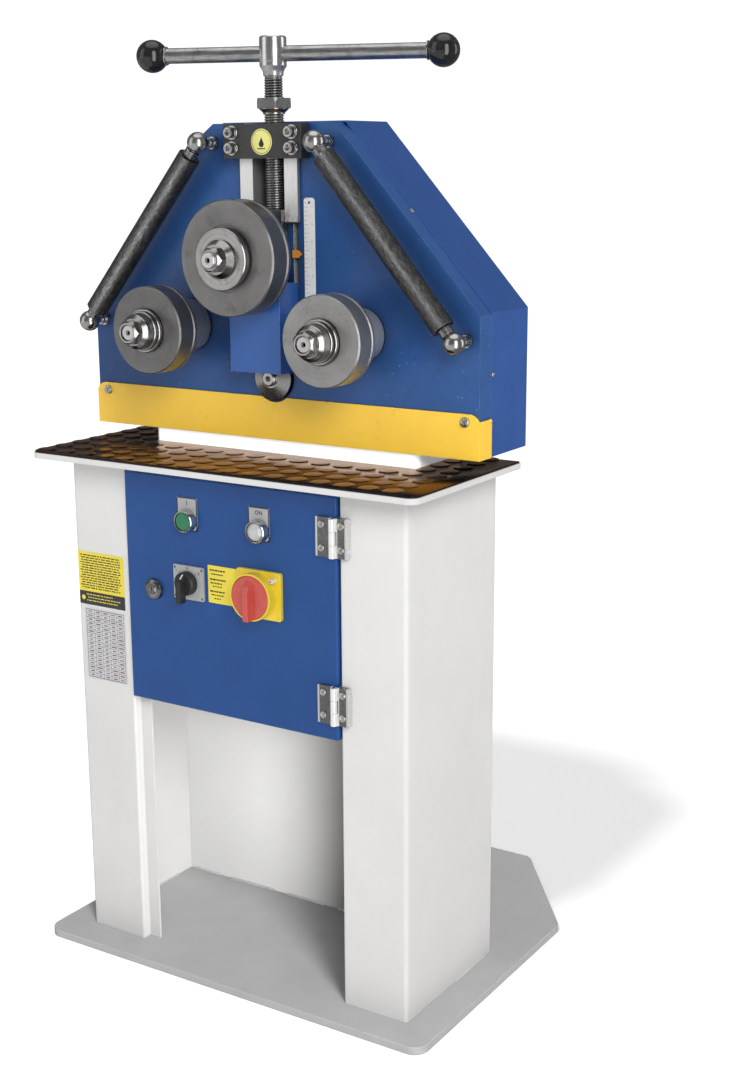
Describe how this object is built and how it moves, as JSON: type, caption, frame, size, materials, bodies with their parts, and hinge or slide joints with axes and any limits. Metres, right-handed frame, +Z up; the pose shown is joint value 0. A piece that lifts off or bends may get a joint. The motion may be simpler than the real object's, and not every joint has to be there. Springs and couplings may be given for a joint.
{
  "type": "ring roller",
  "caption": "Motorised three-roll section bender on a sheet-metal stand, with a screw-set upper roller, crossbar handle, side guide rollers and switch box.",
  "frame": {"origin": "centre of the base plate's underside", "axes": "+Z up; the rollers and the switch box door face -Y; +X to the right of somebody facing the rollers"},
  "size_m": [0.584, 0.54, 1.158],
  "materials": {
    "blue_paint": "gloss enamel",
    "yellow_paint": "gloss enamel",
    "white_paint": "semi-gloss powder coat",
    "grey_paint": "satin enamel",
    "black_paint": "satin black",
    "motor_paint": "satin grey",
    "cast_housing": "painted casting",
    "roller_steel": "turned and ground, lightly blotched",
    "bright_steel": "machined",
    "sleeve_steel": "turned",
    "chrome_plate": "bright plated",
    "knob_plastic": "polished black",
    "dark_steel": "drawn, dark",
    "milled_steel": "milled bright",
    "bronze": "machined",
    "mat_rubber": "studded black",
    "scale_face": "white strip with fine lines",
    "orange_plastic": "semi-gloss",
    "grey_plastic": "matte",
    "black_plastic": "fine grain",
    "yellow_plastic": "semi-gloss",
    "red_plastic": "semi-gloss",
    "green_plastic": "semi-gloss",
    "clear_lens": "clear moulded"
  },
  "bodies": {
    "root": {"base_plate": "grey_paint", "left_column": "white_paint", "right_column": "white_paint", "rear_panel": "white_paint", "table_plate": "white_paint", "tread_mat": "mat_rubber", "riser_plate": "white_paint", "head_front_plate": "blue_paint", "head_bearing_plate": "blue_paint", "head_cover": "blue_paint", "tie_bars": "bright_steel", "guard_strip": "yellow_paint", "slide_gibs": "milled_steel", "scale_strip": "scale_face", "yoke": "black_paint", "spindle_nut": "bronze", "head_screws": "bright_steel", "shaft_bearings": "bright_steel", "side_guide_rods": "chrome_plate", "enclosure_box": "white_paint", "electrical_fittings": "black_plastic", "column_hinge_leaves": "chrome_plate", "hinge_pins": "bright_steel", "gearbox": "cast_housing", "motor": "motor_paint"},
    "door": {"door_panel": "blue_paint", "door_hinge_leaves": "chrome_plate", "door_lock": "chrome_plate", "legend_plates": "grey_plastic", "button_bezels": "chrome_plate", "pilot_lens": "clear_lens", "switch_blocks": "black_plastic", "main_switch_plate": "yellow_plastic"},
    "lock_cam": {"lock_cam": "chrome_plate"},
    "start_button": {"start_button": "green_plastic"},
    "selector": {"selector_knob": "black_plastic"},
    "main_switch": {"main_switch_knob": "red_plastic"},
    "slide": {"slide_block": "bright_steel", "upper_bearings": "bright_steel", "slide_cover": "blue_paint", "scale_pointer": "orange_plastic"},
    "upper_roller": {"upper_shaft": "bright_steel", "upper_roller": "roller_steel", "upper_clamp_nut": "bright_steel"},
    "lower_left": {"left_shaft": "bright_steel", "left_roller": "roller_steel", "left_clamp_nut": "bright_steel", "left_gear": "bright_steel"},
    "lower_right": {"right_shaft": "bright_steel", "right_roller": "roller_steel", "right_clamp_nut": "bright_steel", "right_gear": "bright_steel"},
    "drive": {"pinion_shaft": "bright_steel"},
    "spindle": {"spindle": "bright_steel"},
    "handle": {"tommy_bar": "dark_steel", "bar_knobs": "knob_plastic"},
    "lock_washer": {"lock_washer": "bright_steel"},
    "lock_nut": {"lock_nut": "bright_steel"},
    "left_sleeve": {"left_guide_sleeve": "sleeve_steel"},
    "right_sleeve": {"right_guide_sleeve": "sleeve_steel"}
  },
  "joints": [
    {"name": "upper_slide", "type": "slide", "parent": "root", "child": "slide", "axis": [0, 0, 1], "range_m": [-0.022, 0.03]},
    {"name": "spindle_turn", "type": "hinge", "parent": "slide", "child": "spindle", "pos_m": [0, -0.118, 1], "axis": [0, 0, 1], "range_deg": [-2640.5, 3600.5]},
    {"name": "tommy_bar_slide", "type": "slide", "parent": "spindle", "child": "handle", "axis": [0.9521, 0.3057, 0], "range_m": [-0.165, 0.112]},
    {"name": "upper_roller_spin", "type": "hinge", "parent": "slide", "child": "upper_roller", "pos_m": [0, -0.2, 0.9065], "axis": [0, 1, 0], "continuous": true},
    {"name": "lower_left_spin", "type": "hinge", "parent": "root", "child": "lower_left", "pos_m": [-0.127, -0.2, 0.8175], "axis": [0, 1, 0], "continuous": true},
    {"name": "lower_right_spin", "type": "hinge", "parent": "root", "child": "lower_right", "pos_m": [0.127, -0.2, 0.8175], "axis": [0, 1, 0], "continuous": true},
    {"name": "drive_spin", "type": "hinge", "parent": "root", "child": "drive", "pos_m": [0, -0.1, 0.75858], "axis": [0, 1, 0], "continuous": true},
    {"name": "lock_washer_travel", "type": "slide", "parent": "root", "child": "lock_washer", "axis": [0, 0, 1], "range_m": [-0.011, 0]},
    {"name": "lock_nut_turn", "type": "hinge", "parent": "lock_washer", "child": "lock_nut", "pos_m": [0, -0.118, 1.08], "axis": [0, 0, 1], "range_deg": [-1320.5, 0.5]},
    {"name": "left_guide_spin", "type": "hinge", "parent": "root", "child": "left_sleeve", "pos_m": [-0.17585, -0.1585, 0.9276], "axis": [0.6433, 0, 0.7656], "continuous": true},
    {"name": "right_guide_spin", "type": "hinge", "parent": "root", "child": "right_sleeve", "pos_m": [0.17585, -0.1585, 0.9276], "axis": [-0.6433, 0, 0.7656], "continuous": true},
    {"name": "door_swing", "type": "hinge", "parent": "root", "child": "door", "pos_m": [0.1545, -0.236, 0.5], "axis": [0, 0, 1], "range_deg": [0, 110]},
    {"name": "lock_turn", "type": "hinge", "parent": "door", "child": "lock_cam", "pos_m": [-0.1155, -0.22, 0.4995], "axis": [0, 1, 0], "range_deg": [0, 90]},
    {"name": "start_press", "type": "slide", "parent": "door", "child": "start_button", "axis": [0, 1, 0], "range_m": [0, 0.004], "stiffness_N_per_m": 250, "springref_m": -0.002},
    {"name": "selector_turn", "type": "hinge", "parent": "door", "child": "selector", "pos_m": [-0.0605, -0.24, 0.5152], "axis": [0, 1, 0], "range_deg": [-45, 45]},
    {"name": "main_switch_turn", "type": "hinge", "parent": "door", "child": "main_switch", "pos_m": [0.0461, -0.25, 0.5156], "axis": [0, 1, 0], "range_deg": [-90, 0]}
  ],
  "couplings": [
    {"joint": "spindle_turn", "follows": "upper_slide", "rad_per_m": 2094.4},
    {"joint": "lower_right_spin", "follows": "lower_left_spin", "ratio": 1},
    {"joint": "drive_spin", "follows": "lower_left_spin", "ratio": -2.5},
    {"joint": "lock_nut_turn", "follows": "lock_washer_travel", "rad_per_m": 2094.4}
  ]
}
